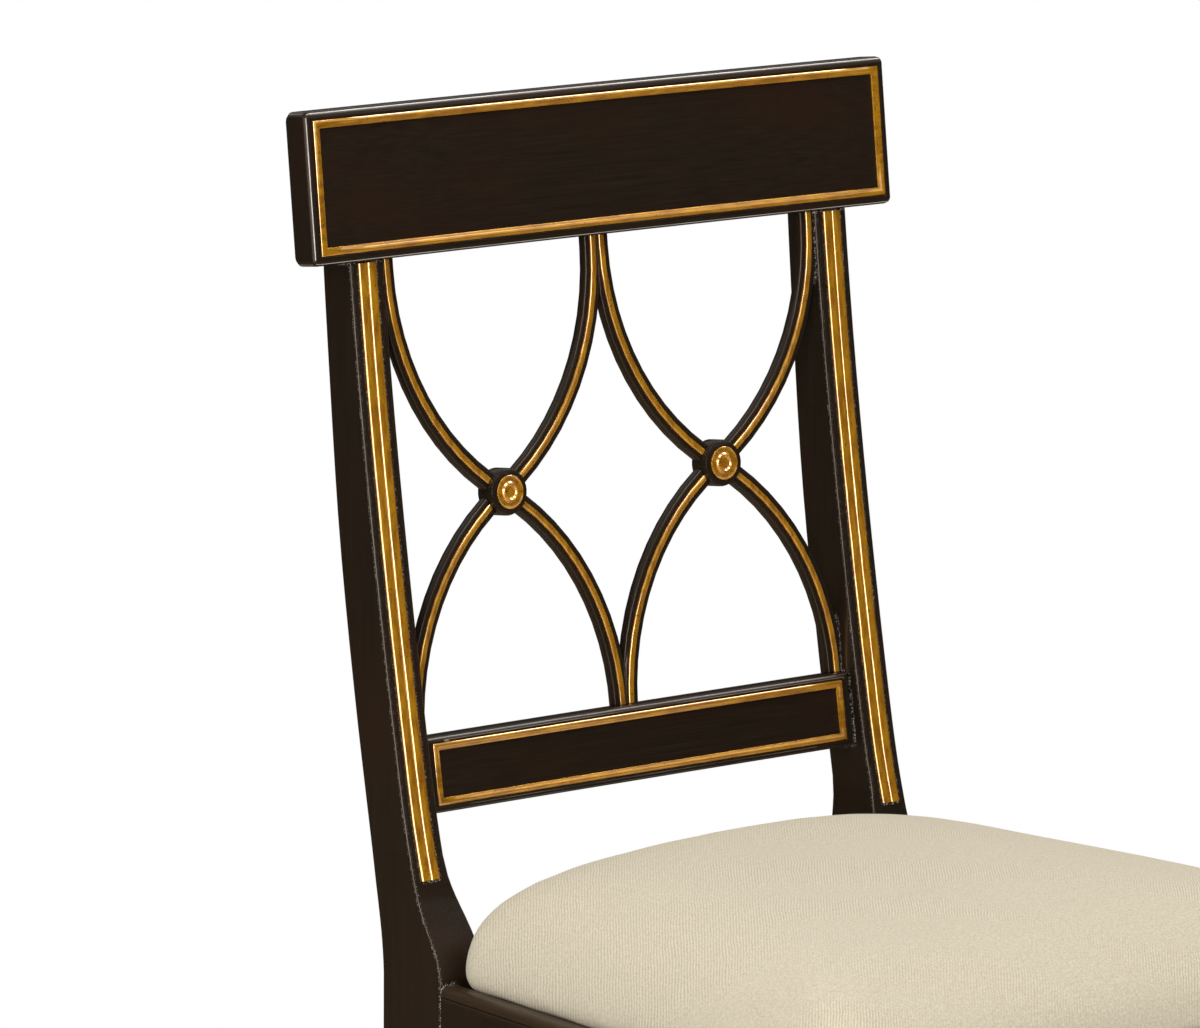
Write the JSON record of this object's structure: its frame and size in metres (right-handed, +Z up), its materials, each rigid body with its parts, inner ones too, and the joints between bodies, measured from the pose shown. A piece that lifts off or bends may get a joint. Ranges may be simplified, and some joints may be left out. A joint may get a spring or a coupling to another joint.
{
  "type": "lyre back chair",
  "caption": "Ebonised dining chair with a bowed crest rail, crossed lyre slats with gilt beads and turned bosses, sabre legs and a crowned drop-in seat in cream cloth.",
  "frame": {"origin": "on the floor, under the middle of the chair's width and depth", "axes": "+Z up, the sitter faces -Y, +X is the right of the pictured front"},
  "size_m": [0.4638, 0.595, 0.9406],
  "materials": {
    "ebonised_wood": "dark stained hardwood, rubbed satin polish",
    "gilt": "wooden bead, burnished gold leaf, lightly worn",
    "cream_twill": "cream cloth with a fine rib, over foam",
    "plywood": "plain birch plywood",
    "beech": "plain planed beech",
    "steel": "plain turned steel"
  },
  "bodies": {
    "root": {"boss_disc_left": "gilt", "boss_disc_right": "gilt", "boss_left": "ebonised_wood", "boss_right": "ebonised_wood", "corner_block_front_left": "beech", "corner_block_front_right": "beech", "corner_block_rear_left": "beech", "corner_block_rear_right": "beech", "crest_bead": "gilt", "crest_rail": "ebonised_wood", "crest_screw_lower_left": "steel", "crest_screw_lower_right": "steel", "crest_screw_upper_left": "steel", "crest_screw_upper_right": "steel", "cross_rail": "ebonised_wood", "cross_rail_bead": "gilt", "front_leg_left": "ebonised_wood", "front_leg_right": "ebonised_wood", "rear_post_left": "ebonised_wood", "rear_post_right": "ebonised_wood", "seat_board": "plywood", "seat_cushion": "cream_twill", "seat_rail_back": "ebonised_wood", "seat_rail_front": "ebonised_wood", "seat_rail_side_left": "ebonised_wood", "seat_rail_side_right": "ebonised_wood", "seat_screw_front_left": "steel", "seat_screw_front_right": "steel", "seat_screw_rear_left": "steel", "seat_screw_rear_right": "steel", "slat_bead_lower_inner_left": "gilt", "slat_bead_lower_inner_right": "gilt", "slat_bead_lower_outer_left": "gilt", "slat_bead_lower_outer_right": "gilt", "slat_bead_upper_inner_left": "gilt", "slat_bead_upper_inner_right": "gilt", "slat_bead_upper_outer_left": "gilt", "slat_bead_upper_outer_right": "gilt", "slat_lower_inner_left": "ebonised_wood", "slat_lower_inner_right": "ebonised_wood", "slat_lower_outer_left": "ebonised_wood", "slat_lower_outer_right": "ebonised_wood", "slat_upper_inner_left": "ebonised_wood", "slat_upper_inner_right": "ebonised_wood", "slat_upper_outer_left": "ebonised_wood", "slat_upper_outer_right": "ebonised_wood", "stile_reed_left": "gilt", "stile_reed_right": "gilt"}
  },
  "joints": []
}
